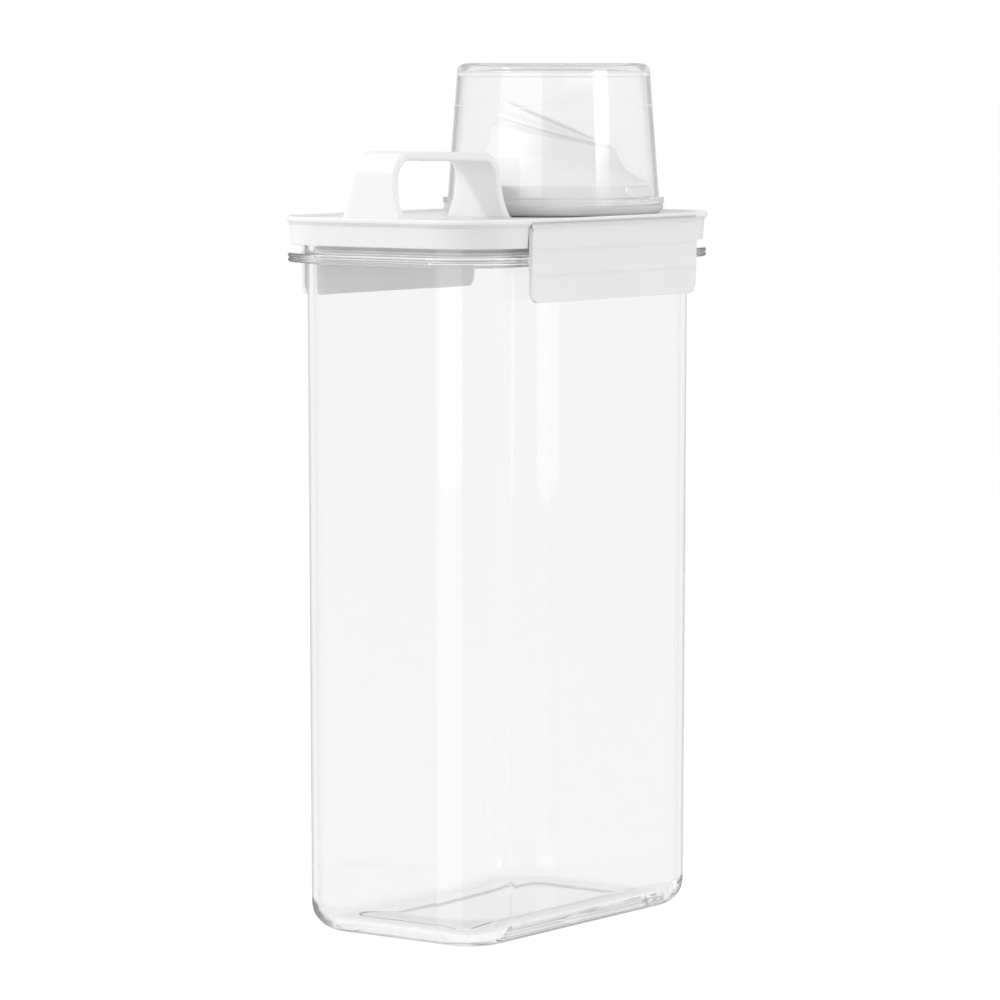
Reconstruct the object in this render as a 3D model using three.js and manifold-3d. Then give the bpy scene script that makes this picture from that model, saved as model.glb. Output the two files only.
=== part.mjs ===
// Detergent dispenser with a snap-on lid, a slanted pour spout and a measuring cup.
// Millimetres, +Z up. The origin is the centre of the base, on the surface it stands on.
// +X runs along the long side towards the spout, and -X towards the carry handle.

import * as THREE from 'three';
import { mergeVertices } from 'three/addons/utils/BufferGeometryUtils.js';
import Module from 'manifold-3d';

const wasm = await Module();
wasm.setup();

// ---------------------------------------------------------------- driving dimensions

const gap = 0.3;                 // clearance left between pieces that touch
const cornerSteps = 6;           // facets round one corner of the container's outline
const roundSteps = 40;           // facets round the spout, the seal ring and the cup

// The container's outer wall just under its flange. Every rounded-rectangle piece is this
// outline, moved outwards or inwards by an offset.
const outline = { halfX: 65, halfY: 41, radius: 19.5 };

const container = {
  wall: 1.8,
  draft: 0.85,                   // how much smaller the foot is than the top, all round
  foot: 9.3,                     // radius of the edge between the wall and the base
  floor: 3,                      // thickness of the base
  innerFoot: 7.5,                // radius inside, between the wall and the floor
  neckTop: 232,
};
const recess = { halfX: 50, halfY: 23, radius: 4, depth: 1.2 };
const flange = { bottom: 222.8, top: 225.8, reach: 6.5, reachAtLatch: 5, bead: 0.5 };

const lid = {
  top: 236.8,                    // the plate's upper face
  plate: 2,                      // thickness of the top plate
  rimTop: 237.9,                 // the lip runs round the plate as a raised rim
  rimWidth: 1.7,
  bottom: 228.5,                 // lower edge of the skirt
  lip: 6.8,                      // offset of the flared lip
  waist: 5.9,                    // offset just under the lip
  skirt: 5.3,                    // offset of the skirt's lower edge
  wall: 1.6,
  lipHeight: 1.5,                // height of the lip that stays above a latch
};
const liner = { bottom: 223.5, floor: 1.6, outer: -3.2, inner: -5.4 };
const groove = { bottom: 226, top: 230, offset: -4.2 };

const latch = {
  halfLength: 46.8,
  bottom: 210.8,
  face: 48.2,                    // how far the outer face stands from the middle plane
  thickness: 1.9,
  lean: 0.6,                     // how far the lower edge is inside the upper one
  scallop: 0.35,                 // depth of the two hollow bands across the face
  corner: 4,
};
const latchBands = [228.6, 220.2];

const handle = {
  nearBend: [-60.2, 250.5],      // centres of the two bends, as [x, z]
  farBend: [-19.55, 249.6],
  bend: 9,                       // outer radius of both bends
  splay: 6.5,                    // degrees that the leg at the lid's end leans outwards
  thickness: 3,
  halfWidth: 8.6,                // half the strap's width at the top
  halfFoot: 12.6,                // half its width where it meets the lid
  flareTop: 252.5,               // the strap widens from here down
  tenonHalfWidth: 6,
  tenonThickness: 1.2,
  tenonDepth: 3.4,
};

const spoutX = 30.5;             // the spout, the ring and the cup share this upright axis
const spout = {
  sleeve: 28,                    // outer radius of the sleeve through the lid
  wall: 1.6,
  collar: 33.6,                  // radius of the collar that centres the cup
  collarTop: 247.6,
  mouth: 14.8,                   // inner radius of the mouth
  mouthTop: 268.3,               // height of the lip on the axis
  shoulder: 19,                  // radius of the ledge that the lip stands on
  slope: 0.42,                   // rise of the mouth for each millimetre across it
  riseAngle: 120,                // degrees from +X to the mouth's high side
};
const ring = { inner: 34.2, outer: 37.3, bottomOuter: 35.6, top: 240.3 };
const cup = {
  wall: 1.6,
  top: 288,
  topRadius: 32.6,
  edge: 2.8,                     // rounding between the wall and the closed end
  mouthRadius: 36,
  beadRadius: 37.7,
  beadTop: 242.9,
};
const lug = { low: 243.4, high: 246.5, reach: 1, halfLength: 7.7 };

// ---------------------------------------------------------------- materials

function plastic(color, roughness, extra = {}) {
  return new THREE.MeshStandardMaterial({ color, roughness, metalness: 0, ...extra });
}

const clearPlastic = plastic(0xe9eef0, 0.08, { transparent: true, opacity: 0.35 });
const whitePlastic = plastic(0xf4f4f2, 0.42);
const greySilicone = plastic(0xa9abab, 0.6);

// ---------------------------------------------------------------- mesh helpers

function geometryOf(vertices, triangles) {
  const geometry = new THREE.BufferGeometry();
  geometry.setAttribute('position', new THREE.Float32BufferAttribute(vertices, 3));
  geometry.setIndex(triangles);
  return geometry;
}

function solid(geometry) {
  const bare = geometry.clone();
  bare.deleteAttribute('normal');
  bare.deleteAttribute('uv');
  const merged = mergeVertices(bare, 1e-4);
  const vertProperties = new Float32Array(merged.attributes.position.array);
  const triVerts = new Uint32Array(merged.index.array);
  return new wasm.Manifold(new wasm.Mesh({ numProp: 3, vertProperties, triVerts }));
}

function geometryFrom(manifold) {
  const mesh = manifold.getMesh();
  return geometryOf(Array.from(mesh.vertProperties), Array.from(mesh.triVerts));
}

function box(low, high) {
  const size = high.map((value, axis) => value - low[axis]);
  const geometry = new THREE.BoxGeometry(...size);
  geometry.translate(...high.map((value, axis) => (value + low[axis]) / 2));
  return solid(geometry);
}

function cylinder(radius, bottom, top, x) {
  const geometry = new THREE.CylinderGeometry(radius, radius, top - bottom, roundSteps * 1.5);
  geometry.rotateX(Math.PI / 2);
  geometry.translate(x, 0, (top + bottom) / 2);
  return solid(geometry);
}

// Points of the rounded rectangle that lies `offset` outside the given one, anticlockwise.
function outlinePoints({ halfX, halfY, radius }, offset = 0) {
  const points = [];
  const corners = [[1, 1], [-1, 1], [-1, -1], [1, -1]];
  corners.forEach(([signX, signY], quarter) => {
    for (let step = 0; step <= cornerSteps; step += 1) {
      const angle = (quarter + step / cornerSteps) * Math.PI / 2;
      const x = signX * (halfX - radius) + (radius + offset) * Math.cos(angle);
      const y = signY * (halfY - radius) + (radius + offset) * Math.sin(angle);
      points.push([x, y]);
    }
  });
  return points;
}

// Sweeps a profile of [offset, height] points round the outline. A ring's profile closes on
// itself; any other profile is closed by a flat cap at its first and at its last point.
function sweptRound(rectangle, profile, isRing = false) {
  const vertices = [];
  const triangles = [];
  const rows = profile.map(([offset, height]) => {
    const points = outlinePoints(rectangle, offset);
    points.forEach(([x, y]) => vertices.push(x, y, height));
    return points.length;
  });
  const count = rows[0];
  const lastRow = isRing ? profile.length : profile.length - 1;
  for (let row = 0; row < lastRow; row += 1) {
    const next = (row + 1) % profile.length;
    for (let column = 0; column < count; column += 1) {
      const beside = (column + 1) % count;
      const a = row * count + column;
      const b = row * count + beside;
      const c = next * count + beside;
      const d = next * count + column;
      triangles.push(a, b, c, a, c, d);
    }
  }
  if (!isRing) {
    addCap(vertices, triangles, 0, count, profile[0][1], true);
    addCap(vertices, triangles, lastRow * count, count, profile[lastRow][1], false);
  }
  return geometryOf(vertices, triangles);
}

function addCap(vertices, triangles, first, count, height, isFlipped) {
  const centre = vertices.length / 3;
  vertices.push(0, 0, height);
  for (let column = 0; column < count; column += 1) {
    const here = first + column;
    const beside = first + (column + 1) % count;
    triangles.push(...(isFlipped ? [centre, beside, here] : [centre, here, beside]));
  }
}

// Turns a profile of [radius, height] points round the upright axis. It runs anticlockwise
// when the radius is drawn to the right and the height upwards.
function turned(profile, isRing = false) {
  const points = profile.map(([radius, height]) => new THREE.Vector2(radius, height));
  if (isRing) {
    points.push(points[0].clone());
  }
  const geometry = new THREE.LatheGeometry(points, roundSteps);
  geometry.rotateX(Math.PI / 2);
  return geometry;
}

// Points on a quarter circle, from the angle `start` in degrees to the angle `end`.
function arc(centreA, centreB, radius, start, end, steps) {
  const points = [];
  for (let step = 0; step <= steps; step += 1) {
    const angle = THREE.MathUtils.degToRad(start + (end - start) * step / steps);
    points.push([centreA + radius * Math.cos(angle), centreB + radius * Math.sin(angle)]);
  }
  return points;
}

// Extrudes a closed outline of [first, second] points by `depth`, centred on its own plane.
function prism(points, depth) {
  const shape = new THREE.Shape(points.map(([a, b]) => new THREE.Vector2(a, b)));
  const geometry = new THREE.ExtrudeGeometry(shape, { depth, bevelEnabled: false });
  geometry.translate(0, 0, -depth / 2);
  return geometry;
}

// Stands a prism drawn in X and Z upright: its depth then runs along Y.
function facingY(geometry) {
  return geometry.rotateX(Math.PI / 2);
}

// Stands a prism drawn in Y and Z upright: its depth then runs along X.
function facingX(geometry) {
  return geometry.rotateY(Math.PI / 2).rotateX(Math.PI / 2);
}

// ---------------------------------------------------------------- container

function flangeProfile(reach) {
  const { bottom, top, bead } = flange;
  const middle = (bottom + top) / 2;
  return [
    [0, bottom],
    [reach - bead, bottom],
    [reach, bottom + bead],
    [reach, middle - bead],
    [reach - bead, middle],
    [reach, middle + bead],
    [reach, top - bead],
    [reach - bead, top],
    [0, top],
  ];
}

function containerGeometry() {
  const { wall, draft, foot, floor, innerFoot, neckTop } = container;
  const profile = [
    ...arc(-draft - foot, foot, foot, -90, 0, 5),
    ...flangeProfile(flange.reach),
    [0, neckTop - 0.5],
    [-0.5, neckTop],
    [-wall + 0.4, neckTop],
    [-wall, neckTop - 0.4],
    ...arc(-wall - draft - innerFoot, floor + innerFoot, innerFoot, 0, -90, 4),
  ];
  let shell = solid(sweptRound(outline, profile));
  shell = shell.subtract(recessSolid());
  for (const side of [-1, 1]) {
    shell = shell.subtract(flangeRelief(side));
  }
  return geometryFrom(shell);
}

function recessSolid() {
  const profile = [[0, -1], [0, recess.depth]];
  return solid(sweptRound(recess, profile));
}

// The flange steps back under each latch, so that the latch stays flush with the lid's lip.
function flangeRelief(side) {
  const halfLength = latch.halfLength + 2 * gap;
  const near = outline.halfY + flange.reachAtLatch;
  const far = outline.halfY + flange.reach + 1;
  const low = [-halfLength, side > 0 ? near : -far, flange.bottom - 1];
  const high = [halfLength, side > 0 ? far : -near, flange.top + 1];
  return box(low, high);
}

// ---------------------------------------------------------------- lid

function lidShellGeometry() {
  const { top, plate, rimTop, rimWidth, bottom, lip, waist, skirt, wall } = lid;
  const underside = top - plate;
  const profile = [
    [skirt - wall - 0.3, underside],
    [skirt - wall, underside - 0.6],
    [skirt - wall, bottom],
    [skirt, bottom],
    [(skirt + waist) / 2, (bottom + top) / 2 - 1],
    [waist, rimTop - 2.9],
    [lip - 0.4, rimTop - 2],
    [lip, rimTop - 1.3],
    [lip, rimTop - 0.6],
    [lip - 0.25, rimTop - 0.15],
    [lip - 0.8, rimTop],
    [lip - rimWidth, top],
  ];
  let shell = solid(sweptRound(outline, profile));
  shell = shell.subtract(cylinder(spout.sleeve + gap + 0.1, underside - 1, top + 1, spoutX));
  for (const side of [-1, 1]) {
    shell = shell.subtract(latchOpening(side));
  }
  for (const x of tenonCentres()) {
    shell = shell.subtract(tenonSolid(x, gap, top + 1));
  }
  return geometryFrom(shell.subtract(footNotch()));
}

// The rim is thinner where the handle's foot stands against it.
function footNotch() {
  const [footX] = archPoints(0, lid.top + gap).at(-1);
  const halfLength = handle.halfFoot + gap;
  return box([footX - gap, -halfLength, lid.top], [footX + 4, halfLength, lid.rimTop + 1]);
}

// The skirt is open where a latch hangs, and only the lip runs on above it.
function latchOpening(side) {
  const halfLength = latch.halfLength + 2 * gap;
  const near = outline.halfY + lid.skirt - lid.wall - 1;
  const far = outline.halfY + lid.lip + 2;
  const roof = lid.top - lid.lipHeight;
  const low = [-halfLength, side > 0 ? near : -far, lid.bottom - 1];
  const high = [halfLength, side > 0 ? far : -near, roof];
  return box(low, high);
}

function lidLinerGeometry() {
  const { bottom, floor, outer, inner } = liner;
  const top = lid.top - lid.plate - gap;
  const profile = [
    [outer - 1, bottom],
    [outer, bottom + 1],
    [outer, groove.bottom],
    [groove.offset, groove.bottom],
    [groove.offset, groove.top],
    [outer, groove.top],
    [outer, top],
    [inner, top],
    [inner, bottom + floor],
  ];
  const tray = solid(sweptRound(outline, profile));
  const hole = cylinder(spout.sleeve + gap + 0.1, bottom - 1, bottom + floor + 1, spoutX);
  return geometryFrom(tray.subtract(hole));
}

function lidGasketGeometry() {
  const seat = groove.offset + gap;
  const contact = -container.wall - gap;
  const low = groove.bottom + gap;
  const high = groove.top - gap;
  const middle = (low + high) / 2;
  const profile = [
    [seat, low],
    [contact - 0.7, low],
    [contact, low + 0.6],
    [contact - 0.9, middle],
    [contact, high - 0.6],
    [contact - 0.7, high],
    [seat, high],
  ];
  return sweptRound(outline, profile, true);
}

// ---------------------------------------------------------------- latches

// Cross-section of a latch, as [distance from the middle plane, height] points. The outer
// face is hollowed in two bands, each of which flares out again towards its lower edge.
function latchSection() {
  const { bottom, face, thickness, lean, scallop } = latch;
  const top = lid.top - lid.lipHeight - gap;
  const faceAt = (height) => face - lean * (top - height) / (top - bottom);
  const [upperBand, lowerBand] = latchBands;
  const inner = face - thickness;
  return [
    [inner, top],
    [inner, bottom + 0.6],
    [inner + 0.4, bottom],
    [faceAt(bottom) - 0.4, bottom],
    [faceAt(bottom), bottom + 0.5],
    [faceAt(lowerBand) - 0.5 * scallop, (bottom + lowerBand) / 2 - 0.6],
    [faceAt(lowerBand) - scallop, lowerBand - 0.6],
    [faceAt(lowerBand), lowerBand],
    [faceAt(upperBand) - 0.5 * scallop, (lowerBand + upperBand) / 2],
    [faceAt(upperBand) - scallop, upperBand - 0.6],
    [faceAt(upperBand), upperBand],
    [face, top - 0.5],
    [face, top],
  ];
}

// The latch seen from its front: square at the top, with round corners at the bottom.
function latchFront() {
  const { halfLength, bottom, corner } = latch;
  const roof = lid.top;
  return [
    [halfLength, roof],
    [-halfLength, roof],
    ...arc(-halfLength + corner, bottom + corner, corner, 180, 270, 5),
    ...arc(halfLength - corner, bottom + corner, corner, 270, 360, 5),
  ];
}

function latchGeometry(side) {
  const section = latchSection().map(([distance, height]) => [side * distance, height]);
  const strip = solid(facingX(prism(section, 2 * latch.halfLength + 2)));
  const front = solid(facingY(prism(latchFront(), 4 * latch.face)));
  return geometryFrom(strip.intersect(front));
}

// ---------------------------------------------------------------- carry handle

// One side of the strap, from the foot beside the spout over both bends to the other foot. The
// first leg stands upright, the top slopes down towards it, and the other leg leans outwards.
function archPoints(inset, bottom) {
  const [nearX, nearZ] = handle.nearBend;
  const [farX, farZ] = handle.farBend;
  const radius = handle.bend - inset;
  const slope = THREE.MathUtils.radToDeg(Math.atan2(nearZ - farZ, farX - nearX));
  const farArc = arc(farX, farZ, radius, 0, 90 - slope, 5);
  const nearArc = arc(nearX, nearZ, radius, 90 - slope, 180 - handle.splay, 5);
  const [legX, legZ] = nearArc.at(-1);
  const lean = Math.tan(THREE.MathUtils.degToRad(handle.splay));
  return [
    [farX + radius, bottom],
    ...farArc,
    ...nearArc,
    [legX - lean * (legZ - bottom), bottom],
  ];
}

// The handle seen from its end: a strap that flares towards its feet.
function handleEndView(bottom) {
  const { halfWidth, halfFoot, flareTop } = handle;
  const steps = 6;
  const side = [];
  for (let step = 0; step <= steps; step += 1) {
    const rise = step / steps;
    const flare = (1 - rise) ** 2.25;
    side.push([halfWidth + (halfFoot - halfWidth) * flare, bottom + (flareTop - bottom) * rise]);
  }
  side.push([halfWidth, flareTop + handle.bend]);
  const mirrored = side.map(([y, z]) => [-y, z]).reverse();
  return [...side, ...mirrored];
}

// The tenons stand close to the inner side of each foot, clear of the lid's skirt.
function tenonCentres() {
  const innerSide = archPoints(handle.thickness, lid.top + gap);
  const inset = handle.tenonThickness / 2 + 0.2;
  return [innerSide.at(-1)[0] - inset, innerSide[0][0] + inset];
}

function tenonSolid(x, clearance, top) {
  const halfX = handle.tenonThickness / 2 + clearance;
  const halfY = handle.tenonHalfWidth + clearance;
  const low = lid.top - handle.tenonDepth - 2 * clearance;
  return box([x - halfX, -halfY, low], [x + halfX, halfY, top]);
}

function carryHandleGeometry() {
  const bottom = lid.top + gap;
  const strap = [
    ...archPoints(0, bottom),
    ...archPoints(handle.thickness, bottom).reverse(),
  ];
  const arch = solid(facingY(prism(strap, 4 * handle.halfFoot)));
  const ends = solid(facingX(prism(handleEndView(bottom), 4 * outline.halfX)));
  let whole = arch.intersect(ends);
  for (const x of tenonCentres()) {
    whole = whole.add(tenonSolid(x, 0, bottom + 0.5));
  }
  return geometryFrom(whole);
}

// ---------------------------------------------------------------- spout, ring and cup

function spoutProfile() {
  const { sleeve, wall, collar, collarTop, mouth, mouthTop, shoulder } = spout;
  const foot = lid.top + gap;
  return [
    [sleeve - wall, liner.bottom - 1],
    [sleeve, liner.bottom - 1],
    [sleeve, foot],
    [collar, foot],
    [collar, collarTop - 0.8],
    [collar - 0.8, collarTop],
    [collar - 4, collarTop + 1.4],
    [collar - 8, collarTop + 4.7],
    [collar - 11, collarTop + 8.9],
    [shoulder + 0.9, mouthTop - 5.2],
    [shoulder, mouthTop - 2.6],
    [shoulder - 0.5, mouthTop - 2.1],
    [mouth + 1.9, mouthTop - 2.1],
    [mouth + 1.8, mouthTop - 0.6],
    [mouth + 1.2, mouthTop],
    [mouth + 0.4, mouthTop],
    [mouth, mouthTop - 0.5],
    [mouth, mouthTop - 3.2],
    [shoulder - 1.7, mouthTop - 4],
    [shoulder - 0.8, mouthTop - 5.6],
    [collar - 12.6, collarTop + 8.2],
    [collar - 9.3, collarTop + 3.6],
    [collar - 5.2, collarTop],
    [collar - 1.8, collarTop - 1.5],
    [collar - wall, foot + wall],
    [sleeve - wall, foot + wall],
  ];
}

// Tilts the cone and the lip, faster and faster towards the mouth, so that one side of the mouth
// stands higher than the other. The collar stays level.
function tiltMouth(geometry) {
  const { collar, collarTop, mouth, slope, riseAngle } = spout;
  const angle = THREE.MathUtils.degToRad(riseAngle);
  const position = geometry.attributes.position;
  const lipRadius = mouth + 1.8;
  for (let index = 0; index < position.count; index += 1) {
    const x = position.getX(index);
    const y = position.getY(index);
    const z = position.getZ(index);
    if (z > collarTop - 1.6) {
      const radius = Math.hypot(x, y);
      const share = THREE.MathUtils.clamp((collar - radius) / (collar - lipRadius), 0, 1) ** 3;
      const uphill = x * Math.cos(angle) + y * Math.sin(angle);
      position.setZ(index, z + slope * share * uphill);
    }
  }
}

function pourSpoutGeometry() {
  const geometry = turned(spoutProfile(), true);
  tiltMouth(geometry);
  return geometry;
}

function cupSealRingGeometry() {
  const { inner, outer, bottomOuter, top } = ring;
  const foot = lid.top + gap;
  const profile = [
    [inner, foot],
    [bottomOuter, foot],
    [(bottomOuter + outer) / 2 + 0.3, foot + 0.9],
    [outer, top - 1],
    [outer - 0.2, top],
    [inner, top],
  ];
  return turned(profile, true);
}

function measuringCupGeometry() {
  const { wall, top, topRadius, edge, mouthRadius, beadRadius, beadTop } = cup;
  const mouth = ring.top + gap;
  const beadMiddle = (mouth + beadTop) / 2;
  const inside = top - wall;
  const profile = [
    [0, inside],
    ...arc(topRadius - wall - edge + 0.8, inside - edge + 0.8, edge - 0.8, 90, 0, 2),
    [mouthRadius - wall, beadTop],
    [mouthRadius - wall + 0.1, mouth],
    [beadRadius - 0.2, mouth],
    [beadRadius, mouth + 0.4],
    [beadRadius - 0.3, beadMiddle],
    [beadRadius, beadTop - 0.4],
    [beadRadius - 0.2, beadTop],
    [mouthRadius, beadTop + 0.2],
    ...arc(topRadius - edge, top - edge, edge, 0, 90, 3),
    [0, top],
  ];
  let shell = solid(turned(profile));
  for (const side of [-1, 1]) {
    shell = shell.add(lugSolid(side));
  }
  return geometryFrom(shell);
}

// A short raised bar on the cup's outer wall, just above the bead, on each long side.
function lugSolid(side) {
  const outer = cup.mouthRadius + lug.reach;
  const inner = cup.mouthRadius - cup.wall / 2;
  const halfAngle = THREE.MathUtils.radToDeg(lug.halfLength / outer);
  const middle = side * 90;
  const points = [
    ...arc(0, 0, outer, middle - halfAngle, middle + halfAngle, 4),
    ...arc(0, 0, inner, middle + halfAngle, middle - halfAngle, 4),
  ];
  const geometry = prism(points, lug.high - lug.low);
  geometry.translate(0, 0, (lug.high + lug.low) / 2);
  return solid(geometry);
}

// ---------------------------------------------------------------- scene graph

function piece(name, geometry, material) {
  const mesh = new THREE.Mesh(geometry, material);
  mesh.name = name;
  return mesh;
}

const spoutGroup = new THREE.Group();
spoutGroup.position.x = spoutX;
spoutGroup.add(
  piece('pour_spout', pourSpoutGeometry(), whitePlastic),
  piece('cup_seal_ring', cupSealRingGeometry(), greySilicone),
  piece('measuring_cup', measuringCupGeometry(), clearPlastic),
);

const lidGroup = new THREE.Group();
lidGroup.add(
  piece('lid_shell', lidShellGeometry(), whitePlastic),
  piece('lid_liner', lidLinerGeometry(), whitePlastic),
  piece('lid_gasket', lidGasketGeometry(), greySilicone),
  piece('latch_front', latchGeometry(-1), whitePlastic),
  piece('latch_back', latchGeometry(1), whitePlastic),
  piece('carry_handle', carryHandleGeometry(), whitePlastic),
  spoutGroup,
);

const dispenser = new THREE.Group();
dispenser.add(piece('container', containerGeometry(), clearPlastic), lidGroup);

export default dispenser;
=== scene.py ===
"""Detergent dispenser: a clear container, a white lid with two latches and a carry handle, a
slanted pour spout in a grey seal ring, and a clear measuring cup turned over the spout.

Sizes are in millimetres, in the CAD's frame, and mesh_object() turns them into metres. The
studio at the end is in metres. An offset is measured outwards from the container's outer wall
just under its flange, and a profile is a line of (offset, height) or (radius, height) points.
"""

import math

import bmesh
import bpy
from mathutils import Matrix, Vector


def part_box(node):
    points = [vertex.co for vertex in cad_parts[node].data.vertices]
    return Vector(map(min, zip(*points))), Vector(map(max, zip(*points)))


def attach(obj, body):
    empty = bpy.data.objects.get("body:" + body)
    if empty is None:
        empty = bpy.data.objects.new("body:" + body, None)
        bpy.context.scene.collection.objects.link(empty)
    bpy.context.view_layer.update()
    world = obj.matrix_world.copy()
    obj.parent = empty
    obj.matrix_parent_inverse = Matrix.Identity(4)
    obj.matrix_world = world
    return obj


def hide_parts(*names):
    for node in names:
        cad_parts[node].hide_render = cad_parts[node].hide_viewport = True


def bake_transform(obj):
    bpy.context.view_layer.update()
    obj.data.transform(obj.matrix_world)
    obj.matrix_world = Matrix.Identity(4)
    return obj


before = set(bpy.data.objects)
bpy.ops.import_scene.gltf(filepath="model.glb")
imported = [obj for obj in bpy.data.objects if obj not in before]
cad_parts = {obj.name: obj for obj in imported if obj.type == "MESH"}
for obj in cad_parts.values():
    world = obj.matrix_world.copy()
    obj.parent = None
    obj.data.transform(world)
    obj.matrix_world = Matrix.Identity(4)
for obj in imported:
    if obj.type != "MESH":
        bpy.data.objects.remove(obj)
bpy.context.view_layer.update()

MM = 0.001


def box_mm(node):
    """The lowest and highest corners of a CAD node, in millimetres."""
    low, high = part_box(node)
    return low / MM, high / MM


# ---------------------------------------------------------------- driving dimensions

CORNER_STEPS = 18            # facets round one corner of the container's outline
ROUND_STEPS = 240            # facets round the spout, the ring and the cup
FILLET_STEPS = 4             # facets in one rounded edge
SMOOTH_ANGLE = math.radians(34)
BEVEL_ANGLE = math.radians(50)

_, container_high = box_mm("container")
lid_low, lid_high = box_mm("lid_shell")
liner_low, liner_high = box_mm("lid_liner")
gasket_low, gasket_high = box_mm("lid_gasket")
latch_low, latch_high = box_mm("latch_back")
_, handle_high = box_mm("carry_handle")
spout_low, spout_high = box_mm("pour_spout")
ring_low, ring_high = box_mm("cup_seal_ring")
cup_low, cup_high = box_mm("measuring_cup")

FLANGE_REACH = 6.5
HALF_X = container_high.x - FLANGE_REACH
HALF_Y = container_high.y - FLANGE_REACH
BODY_OUTLINE = (HALF_X, HALF_Y, 19.5)                # half lengths and corner radius
RECESS_OUTLINE = (HALF_X - 15, HALF_Y - 18, 4)

WALL = 1.8
DRAFT = 0.85                 # how much smaller the container's foot is than its top
FOOT_RADIUS = 9.3
FLOOR = 3
INNER_FOOT_RADIUS = 7.5
RECESS_DEPTH = 1.2
FLANGE_BOTTOM = 222.8
FLANGE_TOP = 225.8
FLANGE_REACH_AT_LATCH = 5
BEAD_RADIUS = 0.74
BEAD_GROOVE = math.radians(62)
BODY_MIDDLE = 120            # any height on the straight wall below the flange
NECK_MIDDLE = 228            # any height on the straight wall above the flange

LID_RIM = lid_high.z         # the lip runs round the top plate as a raised rim
LID_TOP = LID_RIM - 1.1
LID_PLATE = 2
LID_LIP = lid_high.x - HALF_X
LID_WAIST = LID_LIP - 0.9
LID_SKIRT = LID_LIP - 1.5
LID_WALL = 1.6
LID_EDGE = 0.2               # rounding of the edges round the openings
LATCH_ROOF = LID_TOP - 1.5

LINER_OUTER = liner_high.x - HALF_X
LINER_WALL = 2.2
LINER_FLOOR = 1.6
GROOVE_DEPTH = 1

LATCH_HALF = latch_high.x
LATCH_GAP = 0.25             # between a latch's end and the lid's skirt
LATCH_END_STEP = 0.2         # between the two points of an outline either side of that end
LATCH_FACE = latch_high.y
LATCH_THICKNESS = 1.9
LATCH_LEAN = 0.6
LATCH_BANDS = (228.6, 220.2)         # heights where one band of the face ends and the next begins
BAND_EDGE = 1.4              # the height over which a band's upper edge steps in
SCALLOP = 0.22               # how far it steps in
LATCH_CORNER = 4
LATCH_EDGE = 0.4
WEB_THICKNESS = 0.6
WEB_INSET = 0.04             # the web lies this far under the faces that it joins

HANDLE_NEAR_BEND = (-60.2, 250.5)    # centres of the strap's two bends, as (x, z)
HANDLE_FAR_BEND = (-19.55, 249.6)
HANDLE_BEND = 9
HANDLE_SPLAY = math.radians(6.5)     # how far the leg at the lid's end leans outwards
HANDLE_THICKNESS = 3
HANDLE_EDGE = 0.95
HANDLE_HALF_WIDTH = 8.6
HANDLE_HALF_FOOT = handle_high.y
HANDLE_FLARE_TOP = 252.5
HANDLE_FLARE_CURVE = 2.25            # the power with which the strap widens towards its feet
HANDLE_FILLET = 1.0                  # the hollow rounding between a foot and the lid

SPOUT_X = (spout_low.x + spout_high.x) / 2
SLEEVE = 28
SPOUT_HOLE = SLEEVE + 0.4
SPOUT_WALL = 1.6
COLLAR = spout_high.x - SPOUT_X
COLLAR_TOP = 247.6
MOUTH = 14.8
MOUTH_LIP = MOUTH + 1.7
MOUTH_TOP = 268.3
SHOULDER = 19                # radius of the ledge that the mouth's lip stands on
MOUTH_SLOPE = 0.42
MOUTH_TILT_CURVE = 3         # the power with which the tilt grows towards the mouth
MOUTH_RISE_ANGLE = math.radians(120)

RING_OUTER = ring_high.x - SPOUT_X
RING_INNER = RING_OUTER - 3.1

CUP_WALL = 1.6
CUP_TOP_RADIUS = 32.6
CUP_EDGE = 2.8
CUP_BEAD = cup_high.x - SPOUT_X
CUP_MOUTH = CUP_BEAD - 1.7
CUP_BEAD_TOP = cup_low.z + 2.3
LUG_LOW = 243.4
LUG_HIGH = 246.5
LUG_REACH = 1
LUG_HALF_LENGTH = 7.7
LUG_END_ANGLE = 0.08         # the angle over which a lug's end slopes down to the wall
FILL_LINES = (273.4, 283.6)
FILL_LINE_RELIEF = 0.06


# ---------------------------------------------------------------- lines and points

def rounded(points, steps=FILLET_STEPS):
    """Rounds the corners of an open line of (a, b) or (a, b, radius) points."""
    line = [tuple(points[0][:2])]
    for before, corner, after in zip(points, points[1:], points[2:]):
        if len(corner) == 2:
            line.append(tuple(corner))
        else:
            line += corner_arc(before, corner, after, steps)
    line.append(tuple(points[-1][:2]))
    return line


def corner_arc(before, corner, after, steps):
    """Points of the arc that touches both sides of a corner."""
    middle = Vector(corner[:2])
    side_in = Vector(before[:2]) - middle
    side_out = Vector(after[:2]) - middle
    half = side_in.angle(side_out) / 2
    reach = min(corner[2] / math.tan(half), 0.49 * side_in.length, 0.49 * side_out.length)
    radius = reach * math.tan(half)
    inwards = (side_in.normalized() + side_out.normalized()).normalized()
    centre = middle + inwards * radius / math.sin(half)
    first = middle + side_in.normalized() * reach - centre
    last = middle + side_out.normalized() * reach - centre
    start = math.atan2(first.y, first.x)
    turn = math.remainder(math.atan2(last.y, last.x) - start, math.tau)
    return arc(centre.x, centre.y, radius, start, start + turn, steps)


def arc(centre_a, centre_b, radius, start, end, steps):
    """Points of an arc, from the angle start to the angle end."""
    points = []
    for step in range(steps + 1):
        angle = start + (end - start) * step / steps
        points.append((centre_a + radius * math.cos(angle), centre_b + radius * math.sin(angle)))
    return points


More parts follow.
